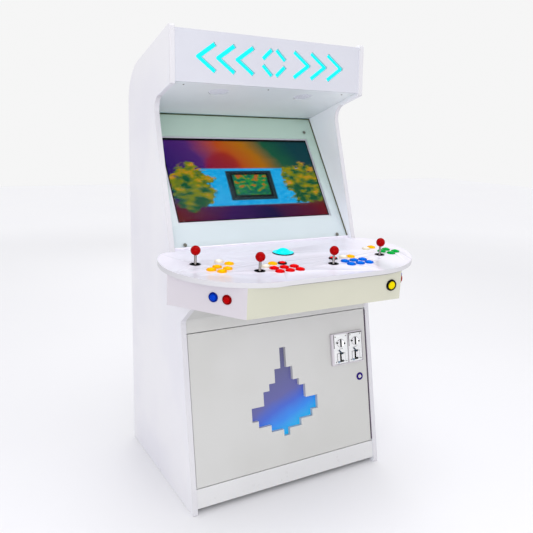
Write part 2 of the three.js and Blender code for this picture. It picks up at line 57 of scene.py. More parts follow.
def addCamera():
    settings = {"place": (-1.2069, -2.2737, 1.3897), "yaw": 32.0914, "pitch": -8.8863, "roll": 1.5057,
                "lens": 43.29, "shift": (-0.0901, -0.0613)}
    yaw, pitch, roll = (math.radians(settings[key]) for key in ("yaw", "pitch", "roll"))
    ahead = Vector((math.sin(yaw) * math.cos(pitch), math.cos(yaw) * math.cos(pitch), math.sin(pitch)))
    right = ahead.cross(Vector((0, 0, 1))).normalized()
    up = right.cross(ahead)
    side = right * math.cos(roll) + up * math.sin(roll)
    top = up * math.cos(roll) - right * math.sin(roll)
    data = bpy.data.cameras.new("camera")
    data.lens = settings["lens"]
    data.sensor_width = 36
    data.shift_x, data.shift_y = settings["shift"]
    camera = bpy.data.objects.new("camera", data)
    turn = Matrix((side, top, -ahead)).transposed().to_4x4()
    camera.matrix_world = Matrix.Translation(settings["place"]) @ turn
    bpy.context.scene.collection.objects.link(camera)
    bpy.context.scene.camera = camera


addCamera()


# wiring for materials and geometry nodes

def tint(red, green, blue):
    # screen values 0 to 255 as linear light
    return tuple((v / 255 / 12.92) if v < 10.3 else ((v / 255 + 0.055) / 1.055) ** 2.4
                 for v in (red, green, blue))


class Wire:
    # a socket whose plain arithmetic adds Math nodes
    def __init__(self, tree, socket=None):
        self.tree = tree
        self.socket = socket

    def node(self, kind, settings=None, inputs=None, output=0):
        made = self.tree.nodes.new(kind)
        for key, value in (settings or {}).items():
            if key == "stops":
                fillRamp(made.color_ramp, value)
            else:
                setattr(made, key, value)
        for key, value in (inputs or {}).items():
            if isinstance(value, Wire):
                self.tree.links.new(value.socket, made.inputs[key])
            else:
                made.inputs[key].default_value = value
        return Wire(self.tree, made.outputs[output] if len(made.outputs) else None)

    def math(self, operation, *values):
        return self.node("ShaderNodeMath", {"operation": operation}, dict(enumerate(values)))

    def __add__(self, other):
        return self.math("ADD", self, other)

    def __radd__(self, other):
        return self.math("ADD", other, self)

    def __sub__(self, other):
        return self.math("SUBTRACT", self, other)

    def __rsub__(self, other):
        return self.math("SUBTRACT", other, self)

    def __mul__(self, other):
        return self.math("MULTIPLY", self, other)

    def __rmul__(self, other):
        return self.math("MULTIPLY", other, self)

    def size(self):
        return self.math("ABSOLUTE", self)

    def ease(self, low, high):
        # 0 at low, 1 at high, smooth between
        settings = {"interpolation_type": "SMOOTHSTEP"}
        return self.node("ShaderNodeMapRange", settings, {0: self, 1: low, 2: high, 3: 0.0, 4: 1.0})

    def blend(self, first, second):
        # a colour between two colours, by this value
        inputs = {0: self, 6: opaque(first), 7: opaque(second)}
        return self.node("ShaderNodeMix", {"data_type": "RGBA"}, inputs, 2)


def opaque(value):
    return value if isinstance(value, Wire) else (*value[:3], 1.0)


def fillRamp(ramp, stops):
    while len(ramp.elements) < len(stops):
        ramp.elements.new(1.0)
    for element, (place, shade) in zip(ramp.elements, stops):
        element.position = place
        element.color = opaque(shade)


def newMaterial(name):
    made = bpy.data.materials.new(name)
    made.use_nodes = True
    made.node_tree.nodes.clear()
    return made, Wire(made.node_tree)


def closed(made, start, shader):
    start.node("ShaderNodeOutputMaterial", None, {0: shader})
    return made


def objectPoint(start):
    return start.node("ShaderNodeTexCoord", None, None, 3)


def axisOf(start, vector, axis):
    return start.node("ShaderNodeSeparateXYZ", None, {0: vector}, axis)


def cloud(start, point, scale, detail=2.0, roughness=0.5):
    inputs = {"Vector": point, "Scale": scale, "Detail": detail, "Roughness": roughness}
    return start.node("ShaderNodeTexNoise", None, inputs)


def bumpOf(start, height, strength, distance):
    return start.node("ShaderNodeBump", None, {"Strength": strength, "Distance": distance, "Height": height})


def skin(start, **inputs):
    names = {"base": "Base Color", "rough": "Roughness", "metal": "Metallic", "normal": "Normal",
             "coat": "Coat Weight", "coatRough": "Coat Roughness", "glow": "Emission Color",
             "glowStrength": "Emission Strength", "alpha": "Alpha", "gloss": "Specular IOR Level",
             "ior": "IOR"}
    colours = ("base", "glow")
    values = {names[key]: opaque(value) if key in colours else value for key, value in inputs.items()}
    return start.node("ShaderNodeBsdfPrincipled", None, values)


# finishes

def satinBoard(name, light, dark, roughness=0.32, peel=0.05):
    # laminate over board: faint mottle, orange peel, scuffs near the floor
    made, start = newMaterial(name)
    point = objectPoint(start)
    clean = cloud(start, point, 2.2, 3.0).ease(0.35, 0.65).blend(light, dark)
    low = 1 - axisOf(start, point, 2).ease(0.01, 0.14)
    scuffs = cloud(start, point, 38.0, 6.0, 0.7).ease(0.6, 0.72) * low
    base = (scuffs * 0.3).blend(clean, tint(150, 146, 140))
    peelNoise = cloud(start, point, 620.0)
    rough = cloud(start, point, 9.0, 4.0) * 0.14 + (roughness - 0.07) + scuffs * 0.25
    normal = bumpOf(start, peelNoise, peel, 0.0004)
    return closed(made, start, skin(start, base=base, rough=rough, normal=normal))


def shadedDeckEdge(name, light):
    # the deck's edge faces, a darker copy of the deck white as painted shade, with a painted shadow line at
    # their foot where the deck overhangs the box
    made, start = newMaterial(name)
    point = objectPoint(start)
    foot = min(vertex.co.z for vertex in frame["nodes"]["control_panel"].data.vertices)
    low = 1 - axisOf(start, point, 2).ease(foot + 0.0014, foot + 0.0026)
    overhangShadow = low * axisOf(start, point, 0).ease(-0.22, -0.15)
    rough = cloud(start, point, 40.0) * 0.1 + 0.34
    return closed(made, start, skin(start, base=(overhangShadow * 0.8).blend(light, tint(96, 94, 90)), rough=rough))


def mouldedPlastic(name, light, roughness=0.28, coat=0.03, grain=0.04, gloss=0.3):
    made, start = newMaterial(name)
    point = objectPoint(start)
    dark = tuple(channel * 0.88 for channel in light)
    base = cloud(start, point, 60.0, 3.0).ease(0.3, 0.7).blend(light, dark)
    rough = cloud(start, point, 150.0, 3.0) * 0.12 + (roughness - 0.06)
    normal = bumpOf(start, cloud(start, point, 900.0), grain, 0.0003)
    return closed(made, start, skin(start, base=base, rough=rough, coat=coat, coatRough=0.08, normal=normal,
                                    gloss=gloss, ior=1.12))


def brushedMetal(name, light, roughness=0.3, stretch=(30.0, 500.0, 30.0)):
    made, start = newMaterial(name)
    along = start.node("ShaderNodeMapping", None, {"Vector": objectPoint(start), "Scale": stretch})
    lines = cloud(start, along, 3.0, 4.0, 0.6)
    dark = tuple(channel * 0.88 for channel in light)
    base = lines.ease(0.3, 0.7).blend(light, dark)
    rough = lines * 0.2 + (roughness - 0.1)
    normal = bumpOf(start, lines, 0.04, 0.0001)
    return closed(made, start, skin(start, base=base, rough=rough, metal=1.0, normal=normal))


def litSheet(name, light, strength):
    # acrylic lit from behind, a little uneven between its lamps
    made, start = newMaterial(name)
    uneven = cloud(start, objectPoint(start), 7.0).ease(0.3, 0.7)
    glow = uneven.blend(light, tuple(channel * 0.94 for channel in light))
    dark = tuple(channel * 0.2 for channel in light)
    shader = skin(start, base=dark, rough=uneven * 0.1 + 0.35, glow=glow, glowStrength=strength, gloss=0.2)
    return closed(made, start, shader)


def ribbedDoorSheet(name):
    # smoky violet sheet, lit blue from below and from the right
    made, start = newMaterial(name)
    point = objectPoint(start)
    height = axisOf(start, point, 2)
    side = axisOf(start, point, 0)
    level = height - side * 0.42 + (cloud(start, point, 9.0) - 0.5) * 0.05
    stops = [(0.0, tint(0, 196, 255)), (0.13, tint(0, 142, 252)), (0.26, tint(44, 98, 220)),
             (0.42, tint(92, 94, 168)), (1.0, tint(92, 90, 118))]
    ramp = start.node("ShaderNodeValToRGB", {"stops": stops}, {0: level.ease(0.16, 0.62)})
    rough = cloud(start, point, 80.0) * 0.1 + 0.35
    return closed(made, start, skin(start, base=tint(40, 40, 60), rough=rough, glow=ramp, glowStrength=0.75))


def printedBorder(name, top, bottom):
    # print on the back of the glass: sea green above, pale blue-white below
    made, start = newMaterial(name)
    point = objectPoint(start)
    fall = axisOf(start, point, 2).ease(0.98, 1.42)
    base = fall.blend(bottom, top)
    rough = cloud(start, point, 240.0) * 0.08 + 0.1
    return closed(made, start, skin(start, base=base, rough=rough, coat=0.6, coatRough=0.03))


def clearGlass(name):
    made, start = newMaterial(name)
    smear = cloud(start, objectPoint(start), 14.0, 5.0, 0.65)
    shader = skin(start, base=tint(20, 30, 28), rough=smear * 0.06 + 0.01, alpha=smear * 0.02 + 0.03)
    return closed(made, start, shader)


def screenPicture(name):
    # an abstract field of colour blocks and soft shapes, drawn on the piece's own UV map
    made, start = newMaterial(name)
    uv = start.node("ShaderNodeTexCoord", None, None, 2)
    u = axisOf(start, uv, 0)
    v = axisOf(start, uv, 1)
    grain = cloud(start, uv, 26.0, 3.0)
    wander = (cloud(start, uv, 5.0, 2.0) - 0.5) * 0.25

    def block(u0, u1, v0, v1, soft=0.006):
        inside = (u - (u0 + u1) / 2).size()
        level = (v - (v0 + v1) / 2).size()
        wide = 1 - inside.ease((u1 - u0) / 2 - soft, (u1 - u0) / 2 + soft)
        high = 1 - level.ease((v1 - v0) / 2 - soft, (v1 - v0) / 2 + soft)
        return wide * high

    def disc(centreU, centreV, radius, soft):
        wide = (u - centreU) * 1.78
        high = v - centreV
        return 1 - (wide * wide + high * high).ease(radius ** 2 - soft, radius ** 2 + soft)

    slant = u + (v - 0.5) * 0.35 + wander * 0.5
    upper = start.node("ShaderNodeValToRGB", {"stops": [
        (0.0, tint(30, 14, 96)), (0.3, tint(74, 34, 110)), (0.5, tint(176, 70, 22)),
        (0.68, tint(168, 104, 8)), (0.84, tint(20, 84, 58)), (1.0, tint(10, 58, 66))]}, {0: slant})
    lower = start.node("ShaderNodeValToRGB", {"stops": [
        (0.0, tint(92, 6, 14)), (0.35, tint(52, 10, 84)), (0.6, tint(20, 8, 66)), (1.0, tint(104, 10, 22))]},
        {0: u + wander})
    picture = (1 - (v + wander * 0.3).ease(0.12, 0.3)).blend(upper, lower)
    picture = (disc(0.36, 0.63, 0.2, 0.02) * 0.75).blend(picture, tint(140, 12, 30))
    panel = block(0.2, 0.88, 0.17, 0.62, 0.012).blend(picture, grain.ease(0.3, 0.7).blend(
        tint(0, 158, 226), tint(40, 178, 236)))
    picture = block(0.36, 0.67, 0.23, 0.59).blend(panel, tint(30, 50, 56))
    picture = block(0.385, 0.645, 0.265, 0.56).blend(picture, tint(8, 12, 16))
    scenery = start.node("ShaderNodeValToRGB", {"stops": [
        (0.0, tint(6, 30, 70)), (0.42, tint(8, 92, 82)), (0.52, tint(30, 140, 60)), (0.6, tint(176, 96, 20)),
        (1.0, tint(30, 80, 160))]}, {0: grain * 0.7 + v * 0.35})
    picture = block(0.4, 0.63, 0.29, 0.54).blend(picture, scenery)
    ragged = (cloud(start, uv, 11.0, 4.0, 0.65) - 0.5) * 0.16
    for centreU, centreV in ((0.13, 0.4), (0.88, 0.42)):      # ragged patches of leaf colours at either side
        wide = (u - centreU) * 1.5
        high = (v - centreV) * 0.8
        patch = 1 - (wide * wide + high * high + ragged).ease(0.036, 0.05)
        leaves = start.node("ShaderNodeValToRGB", {"stops": [
            (0.0, tint(8, 40, 30)), (0.4, tint(14, 84, 50)), (0.52, tint(120, 130, 14)),
            (0.62, tint(196, 140, 30)), (1.0, tint(40, 120, 170))]},
            {0: cloud(start, uv, 15.0, 3.0) * 0.75 + v * 0.25})
        picture = patch.blend(picture, leaves)
    picture = (1 - block(0.008, 0.992, 0.012, 0.97, 0.003)).blend(picture, tint(4, 4, 6))
    shader = skin(start, base=tint(4, 4, 5), rough=grain * 0.05 + 0.2, glow=picture, glowStrength=0.95,
                  gloss=0.05)
    return closed(made, start, shader)


def swirledBall(name, light, dark):
    made, start = newMaterial(name)
    point = objectPoint(start)
    swirl = cloud(start, point, 34.0, 4.0, 0.6).ease(0.42, 0.62)
    base = swirl.blend(light, dark)
    shader = skin(start, base=base, rough=swirl * 0.05 + 0.06, coat=0.12, coatRough=0.02, glow=base,
                  glowStrength=0.25, ior=1.15)
    return closed(made, start, shader)


finishes = {
    # the white boards are one laminate: the front and head copies are painted darker as painted shade, the
    # speaker board lighter as painted light
    "white_side_board": satinBoard("sideWhite", tint(230, 229, 234), tint(224, 223, 231)),
    "white_front_board": satinBoard("frontWhiteShade", tint(194, 194, 193), tint(189, 189, 187), 0.34),
    "white_head_board": satinBoard("headWhiteShade", tint(196, 197, 206), tint(192, 193, 203), 0.34),
    "white_deck": satinBoard("deckWhite", tint(231, 228, 240), tint(227, 224, 237), 0.22, 0.03),
    "grey_speaker_board": satinBoard("speakerBoardLight", tint(226, 231, 234), tint(221, 226, 230), 0.36),
    "screen_glass": clearGlass("clearGlass"),
    "monitor_case": mouldedPlastic("monitorCase", tint(28, 28, 32), 0.45, 0.0, 0.1),
    "computer_case": mouldedPlastic("computerCase", tint(46, 46, 50), 0.5, 0.0, 0.12),
    "cyan_lit_acrylic": litSheet("cyanAcrylic", tint(0, 250, 255), 1.0),
    "blue_lit_ribbed_sheet": ribbedDoorSheet("ribbedSheet"),
    "speaker_cone": mouldedPlastic("speakerCone", tint(34, 34, 38), 0.6, 0.0, 0.2),
    "black_plastic": mouldedPlastic("blackPlastic", tint(10, 10, 12), 0.3),
    "coin_plate_steel": brushedMetal("coinSteel", tint(232, 233, 235), 0.3),
    "coin_flap_steel": brushedMetal("flapSteel", tint(206, 210, 214), 0.3),
    "lock_steel": brushedMetal("lockSteel", tint(226, 226, 220), 0.24),
    "pivot_steel": brushedMetal("pivotSteel", tint(190, 192, 196), 0.28),
    "red_ball_top": mouldedPlastic("redBall", tint(160, 0, 2), 0.2, 0.06, 0.02, 0.3),
    "cyan_ball": swirledBall("cyanBall", tint(0, 238, 246), tint(0, 214, 232)),
    "red_button": mouldedPlastic("redButton", tint(236, 0, 6)),
    "blue_button": mouldedPlastic("blueButton", tint(0, 112, 232)),
    "yellow_button": mouldedPlastic("yellowButton", tint(255, 188, 0)),
    "green_button": mouldedPlastic("greenButton", tint(0, 178, 70)),
}
whiteButton = mouldedPlastic("whiteButton", tint(244, 240, 230))
creamRing = mouldedPlastic("creamRing", tint(226, 216, 196))
violetRing = mouldedPlastic("violetRing", tint(40, 14, 112), 0.3, 0.1)
lemonButton = mouldedPlastic("lemonButton", tint(226, 206, 0))
# the side buttons and their collars are the deck's reds and blues painted darker: painted shade
shadedSideRed = mouldedPlastic("shadedSideRed", tint(172, 0, 2))
shadedSideBlue = mouldedPlastic("shadedSideBlue", tint(0, 58, 190))
# the collars are the buttons' own colours painted darker: painted shade
shadedCollarLooks = {
    "red_button": mouldedPlastic("redCollarShaded", tint(206, 0, 4)),
    "blue_button": mouldedPlastic("blueCollarShaded", tint(0, 96, 208)),
    "yellow_button": mouldedPlastic("yellowCollarShaded", tint(240, 168, 0)),
    "green_button": mouldedPlastic("greenCollarShaded", tint(0, 158, 60)),
}
shadedSideCollars = {
    "red_button": mouldedPlastic("shadedSideRedCollar", tint(132, 0, 2)),
    "blue_button": mouldedPlastic("shadedSideBlueCollar", tint(0, 36, 136)),
}
shaftSteel = brushedMetal("shaftSteel", tint(128, 124, 124), 0.2, (900.0, 900.0, 20.0))
screwSteel = brushedMetal("screwSteel", tint(120, 120, 112), 0.36, (300.0, 300.0, 300.0))
polishedSteel = brushedMetal("polishedSteel", tint(244, 244, 246), 0.16, (60.0, 60.0, 60.0))
# near-black for the coin slots, studs, keyway, coin mouths and flap: painted shade inside openings
recessShade = mouldedPlastic("recessShade", tint(8, 8, 10), 0.55, 0.0, 0.1, 0.1)
# a dark strip in the door's latch-side gap: painted shade
doorGapShade = mouldedPlastic("doorGapShade", tint(92, 80, 96), 0.6, 0.0, 0.1, 0.2)
oliveEdge = mouldedPlastic("oliveEdge", tint(84, 84, 52), 0.35, 0.2)
# darker deck edges: painted shade
deckEdgeShade = shadedDeckEdge("deckEdgeShade", tint(198, 197, 202))
# the side panels' front edges, painted darker: painted shade
frontEdgeShade = satinBoard("frontEdgeShade", tint(206, 205, 210), tint(201, 200, 206))
# the side panels' inner faces, painted lighter: painted light
innerWhiteLight = satinBoard("innerWhiteLight", tint(250, 251, 255), tint(246, 248, 255))
# the kick plate's white, darkened for the light on it: painted shade
kickWhiteShade = satinBoard("kickWhiteShade", tint(208, 208, 210), tint(204, 204, 206), 0.34)
leverPlastic = mouldedPlastic("leverPlastic", tint(66, 80, 94), 0.4, 0.0)
hookPlastic = mouldedPlastic("hookPlastic", tint(138, 156, 172), 0.4, 0.0)
gapShade = mouldedPlastic("gapShade", tint(52, 50, 46), 0.6, 0.0, 0.1, 0.1)
softShade = mouldedPlastic("softShade", tint(150, 149, 147), 0.6, 0.0, 0.1, 0.1)
# the cabinet white as lit: painted warm light and shade on the box's front wall, painted cool light on its
# angled walls and the coin surround
warmLitWhite = satinBoard("warmLitWhite", tint(195, 194, 178), tint(190, 190, 174), 0.34)
coolLitWhite = satinBoard("coolLitWhite", tint(201, 196, 203), tint(197, 192, 199), 0.34)
borderPrint = printedBorder("borderPrint", tint(194, 220, 206), tint(212, 224, 230))
pictureLight = screenPicture("pictureLight")
grilleCloth = satinBoard("grilleCloth", tint(240, 242, 250), tint(232, 235, 244), 0.7, 0.4)
# grey dots standing for the shade seen through the grille's holes: painted shade
grilleHoleShade = mouldedPlastic("grilleHoleShade", tint(168, 170, 178), 0.6, 0.0, 0.1, 0.1)
labelPrint = mouldedPlastic("labelPrint", tint(120, 122, 126), 0.5, 0.0)
print("finishes made")


# meshes and placing

def settle(name, data, body, materials=(), stands=()):
    piece = bpy.data.objects.new(name, data)
    bpy.context.scene.collection.objects.link(piece)
    if materials and len(data.materials):
        data.materials.clear()
    for material in materials:
        data.materials.append(material)
    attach(piece, body)
    if stands:
        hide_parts(*stands)


def settleParts(name, body, parts, stands=()):
    data, materials = assembled(name, parts)
    settle(name, data, body, materials, stands)


def toMesh(shape, name="shape"):
    data = bpy.data.meshes.new(name)
    shape.to_mesh(data)
    shape.free()
    return data


def withModifiers(data, *modifiers):
    # each modifier is (kind, settings); the result is a plain mesh
    worker = bpy.data.objects.new("worker", data)
    bpy.context.scene.collection.objects.link(worker)
    for kind, settings in modifiers:
        modifier = worker.modifiers.new(kind, kind)
        for key, value in settings.items():
            setattr(modifier, key, value)
    graph = bpy.context.evaluated_depsgraph_get()
    result = bpy.data.meshes.new_from_object(worker.evaluated_get(graph))
    bpy.data.objects.remove(worker)
    return result


def softened(data, width):
    for polygon in data.polygons:
        polygon.use_smooth = True
    bevel = {"width": width * mm, "segments": 2, "limit_method": "ANGLE", "angle_limit": math.radians(32),
             "use_clamp_overlap": True}
    normals = {"weight": 100, "keep_sharp": True}
    return withModifiers(data, ("BEVEL", bevel), ("WEIGHTED_NORMAL", normals))


def softCopy(node, width):
    shape = bmesh.new()
    shape.from_mesh(frame["nodes"][node].data)
    bmesh.ops.remove_doubles(shape, verts=shape.verts, dist=0.02 * mm)
    bmesh.ops.dissolve_limit(shape, angle_limit=math.radians(0.5), verts=shape.verts, edges=shape.edges)
    return softened(toMesh(shape, node), width)


def lathe(profile, segments=48, ring=False):
    # [radius, height] pairs in mm turned about z; a ring's profile closes on itself off the axis
    shape = bmesh.new()
    rows = []
    for radius, height in profile:
        if radius < 1e-6:
            rows.append([shape.verts.new((0, 0, height * mm))])
        else:
            rows.append([shape.verts.new((radius * mm * math.cos(2 * math.pi * k / segments),
                                          radius * mm * math.sin(2 * math.pi * k / segments), height * mm))
                         for k in range(segments)])
    pairs = list(zip(rows, rows[1:] + ([rows[0]] if ring else [])))
    for low, high in pairs:
        for k in range(segments):
            n = (k + 1) % segments
            corners = [low[k % len(low)], low[n % len(low)], high[n % len(high)], high[k % len(high)]]
            shape.faces.new(list(dict.fromkeys(corners)))
    bmesh.ops.recalc_face_normals(shape, faces=shape.faces)
    return smoothed(toMesh(shape))


def smoothed(data, angle=38):
    for polygon in data.polygons:
        polygon.use_smooth = True
    data.set_sharp_from_angle(angle=math.radians(angle))
    return data


def slab(x, y, z, width=0.6):
    # a block with softened edges, from (low, high) pairs in mm
    shape = bmesh.new()
    bmesh.ops.create_cube(shape, size=1)
    for vertex in shape.verts:
        limits = zip(vertex.co, (x, y, z))
        vertex.co = Vector([(low if part < 0 else high) * mm for part, (low, high) in limits])
    return softened(toMesh(shape), width)


def rim(outer, inner, z, width=0.6):
    # a rectangular frame from (x0, x1, y0, y1) outside and inside
    shape = bmesh.new()

    def corners(box, height):
        x0, x1, y0, y1 = box
        around = ((x0, y0), (x1, y0), (x1, y1), (x0, y1))
        return [shape.verts.new((x * mm, y * mm, height * mm)) for x, y in around]

    low, high = z
    loops = [corners(outer, low), corners(outer, high), corners(inner, high), corners(inner, low)]
    for first, second in zip(loops, loops[1:] + loops[:1]):
        for k in range(4):
            n = (k + 1) % 4
            shape.faces.new((first[k], first[n], second[n], second[k]))
    bmesh.ops.recalc_face_normals(shape, faces=shape.faces)
    return softened(toMesh(shape), width) if width else toMesh(shape)


def assembled(name, parts):
    # parts are (mesh, material, place); one mesh and its materials come back
    whole = bmesh.new()
    materials = []
    for data, material, place in parts:
        if material not in materials:
            materials.append(material)
        moved = data.copy()
        moved.transform(place)
        first = len(whole.faces)
        whole.from_mesh(moved)
        whole.faces.ensure_lookup_table()
        for face in whole.faces[first:]:
            face.material_index = materials.index(material)
    return toMesh(whole, name), materials


def placing(point, up):
    # a frame whose z is up and whose x lies as near to across as it can
    side = (across - up * across.dot(up)).normalized()
    return Matrix.Translation(point) @ Matrix((side, up.cross(side), up)).transposed().to_4x4()


def reach(node, direction):
    return max(vertex.co.dot(direction) for vertex in frame["nodes"][node].data.vertices)


def middle(node):
    low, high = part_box(node)
    return (low + high) / 2


def faceOf(node, towards):
    # the frame of a panel's broad face: x across, y up to its top edge at 0, z out
    data = frame["nodes"][node].data
    broad = max((p for p in data.polygons if p.normal.dot(Vector(towards)) > 0.5), key=lambda p: p.area)
    out = Vector((0, broad.normal.y, broad.normal.z)).normalized()
    up = out.cross(across)
    return placing(out * reach(node, out) + up * reach(node, up), out)


def jointUp(body):
    return -Vector(joints[body + "_press"]["axis"]).normalized()


def axisPlace(body, board):
    # on a press joint's axis, at the surface of the board that the button sits in
    out = jointUp(body)
    vertices = [vertex.co for node in bodies[body] for vertex in frame["nodes"][node].data.vertices]
    centre = sum(vertices, Vector()) / len(vertices)
    return placing(centre + out * (reach(board, out) - centre.dot(out)), out)


def at(x, y, z=0.0):
    return Matrix.Translation((x * mm, y * mm, z * mm))


# geometry node trees for what repeats

def nodeTree(name, numbers):
    # inputs: points, then the named sizes in mm; returns the tree, its start and its sizes
    tree = bpy.data.node_groups.new(name, "GeometryNodeTree")
    tree.interface.new_socket("Geometry", in_out="INPUT", socket_type="NodeSocketGeometry")
    tree.interface.new_socket("Geometry", in_out="OUTPUT", socket_type="NodeSocketGeometry")
    for label in numbers:
        tree.interface.new_socket(label, in_out="INPUT", socket_type="NodeSocketFloat")
    tree.interface.new_socket("Material", in_out="INPUT", socket_type="NodeSocketMaterial")
    group = tree.nodes.new("NodeGroupInput")
    sockets = {socket.name: Wire(tree, socket) for socket in group.outputs if socket.name}
    return tree, Wire(tree), sockets


def endTree(start, points, shape, sockets, scale=None, rotation=None):
    inputs = {"Points": points, "Instance": shape}
    if scale:
        inputs["Scale"] = scale
    if rotation:
        inputs["Rotation"] = rotation
    placed = start.node("GeometryNodeInstanceOnPoints", None, inputs)
    real = start.node("GeometryNodeRealizeInstances", None, {0: placed})
    smooth = start.node("GeometryNodeSetShadeSmooth", None, {"Geometry": real, "Shade Smooth": True})
    paint = {"Geometry": smooth, "Material": sockets["Material"]}
    start.node("NodeGroupOutput", None, {0: start.node("GeometryNodeSetMaterial", None, paint)})


def collarTree():
    # a rounded ring round every point
    tree, start, sizes = nodeTree("collars", ["Outer", "Inner", "Height"])
    half = (sizes["Outer"] - sizes["Inner"]) * 0.5
    path = start.node("GeometryNodeCurvePrimitiveCircle", None,
                      {"Resolution": 48, "Radius": (sizes["Outer"] + sizes["Inner"]) * 0.5})
    section = start.node("GeometryNodeCurvePrimitiveCircle", None, {"Resolution": 10, "Radius": half})
    ring = start.node("GeometryNodeCurveToMesh", None, {"Curve": path, "Profile Curve": section})
    flat = start.node("ShaderNodeCombineXYZ", None,
                      {0: 1.0, 1: 1.0, 2: start.node("ShaderNodeMath", {"operation": "DIVIDE"},
                                                    {0: sizes["Height"], 1: half})})
    shape = start.node("GeometryNodeTransform", None, {"Geometry": ring, "Scale": flat})
    endTree(start, sizes["Geometry"], shape, sizes)
    return tree


def screwTree():
    # domed heads with a cross recess, each turned its own way
    tree, start, sizes = nodeTree("screws", ["Radius", "Height"])
    ball = start.node("GeometryNodeMeshUVSphere", None, {"Segments": 20, "Rings": 10, "Radius": 1.0})
    shape = start.node("ShaderNodeCombineXYZ", None,
                       {0: sizes["Radius"], 1: sizes["Radius"], 2: sizes["Height"]})
    dome = start.node("GeometryNodeTransform", None, {"Geometry": ball, "Scale": shape})
    arms = []
    for wide, deep in ((1.15, 0.24), (0.24, 1.15)):
        size = start.node("ShaderNodeCombineXYZ", None, {
            0: sizes["Radius"] * wide, 1: sizes["Radius"] * deep, 2: sizes["Height"] * 1.2})
        arm = start.node("GeometryNodeMeshCube", None, {"Size": size})
        lift = start.node("ShaderNodeCombineXYZ", None, {0: 0.0, 1: 0.0, 2: sizes["Height"]})
        arms.append(start.node("GeometryNodeTransform", None, {"Geometry": arm, "Translation": lift}))
    cut = dome
    for arm in arms:
        cut = start.node("GeometryNodeMeshBoolean", {"operation": "DIFFERENCE", "solver": "EXACT"},
                         {"Mesh 1": cut, "Mesh 2": arm})
    chance = {"Min": 0.0, "Max": 3.1, "Seed": 4}
    turn = start.node("FunctionNodeRandomValue", {"data_type": "FLOAT"}, chance, 1)
    spin = start.node("ShaderNodeCombineXYZ", None, {0: 0.0, 1: 0.0, 2: turn})
    endTree(start, sizes["Geometry"], cut, sizes, rotation=spin)
    return tree


def dotTree():
    # small round studs, flat on the surface
    tree, start, sizes = nodeTree("dots", ["Radius", "Height"])
    shape = start.node("GeometryNodeMeshCylinder", None,
                       {"Vertices": 10, "Radius": sizes["Radius"], "Depth": sizes["Height"]})
    endTree(start, sizes["Geometry"], shape, sizes)
    return tree


def ribTree():
    # long half-round ribs; the points carry each rib's half length
    tree, start, sizes = nodeTree("ribs", ["Radius", "Turn"])
    shape = {"Vertices": 8, "Radius": sizes["Radius"], "Depth": 2.0}
    rod = start.node("GeometryNodeMeshCylinder", None, shape)
    laid = start.node("GeometryNodeTransform", None, {"Geometry": rod, "Rotation": (math.pi / 2, 0.0, 0.0)})
    length = start.node("GeometryNodeInputNamedAttribute", {"data_type": "FLOAT"}, {"Name": "halfLength"})
    scale = start.node("ShaderNodeCombineXYZ", None, {0: 1.0, 1: length, 2: 1.0})
    spin = start.node("ShaderNodeCombineXYZ", None, {0: 0.0, 1: 0.0, 2: sizes["Turn"]})
    endTree(start, sizes["Geometry"], laid, sizes, scale=scale, rotation=spin)
    return tree


def grown(tree, points, material, lengths=None, **values):
    # runs a tree on points in mm and returns the plain mesh
    data = bpy.data.meshes.new("points")
    data.from_pydata([Vector(point) * mm for point in points], [], [])
    if lengths:
        attribute = data.attributes.new("halfLength", "FLOAT", "POINT")
        attribute.data.foreach_set("value", [length * mm for length in lengths])
    worker = bpy.data.objects.new("worker", data)
    bpy.context.scene.collection.objects.link(worker)
    modifier = worker.modifiers.new("grow", "NODES")
    modifier.node_group = tree
    for item in tree.interface.items_tree:
        if item.in_out == "INPUT" and item.name in values:
            modifier[item.identifier] = values[item.name]
        if item.in_out == "INPUT" and item.name == "Material":
            modifier[item.identifier] = material
    worker.update_tag()
    graph = bpy.context.evaluated_depsgraph_get()
    result = bpy.data.meshes.new_from_object(worker.evaluated_get(graph))
    bpy.data.objects.remove(worker)
    return result


collars, screws, dots, ribs = collarTree(), screwTree(), dotTree(), ribTree()
print("node trees made")


# boards and cases, with softened edges

boards = {
    "left_side_panel": ("white_side_board", 1.4), "right_side_panel": ("white_side_board", 1.4),
    "roof_panel": ("white_side_board", 0.8), "rear_panel": ("white_side_board", 0.8),
    "base_panel": ("white_front_board", 0.8), "kick_plate": ("white_front_board", 0.8),
    "front_rail": ("white_front_board", 0.8), "marquee_panel": ("white_head_board", 0.5),
    "speaker_panel": ("grey_speaker_board", 0.6), "monitor": ("monitor_case", 1.5),
    "game_computer": ("computer_case", 2.0), "control_panel": ("white_deck", 1.6),
    "control_box": ("white_front_board", 1.0), "service_door": ("white_front_board", 0.9),
    "power_inlet": ("black_plastic", 0.6), "trackball_housing": ("black_plastic", 0.5),
}


def recoloured(data, direction, limit, index):
    # faces turned towards the direction take another of the piece's materials
    for polygon in data.polygons:
        if limit[0] <= polygon.normal.dot(direction) <= limit[1]:
            polygon.material_index = index


sidePanels = {"left_side_panel": 1, "right_side_panel": -1}             # which way each inner face looks
panelLooks = [finishes["white_side_board"], innerWhiteLight, frontEdgeShade]     # outside, inside, front edges
mixedLooks = {
    "left_side_panel": panelLooks, "right_side_panel": panelLooks, "kick_plate": [kickWhiteShade],
    "control_panel": [finishes["white_deck"], deckEdgeShade],
    # painted cool light on the angled walls, painted warm light and shade on the front wall
    "control_box": [coolLitWhite, warmLitWhite],                              # angled walls, front wall
    "trackball_housing": [finishes["black_plastic"], finishes["cyan_ball"]],
}
deckUp = jointUp("button_1_1")
litRim = {"above": 0.5, "radius": 36.4}                                # the lit part of the housing


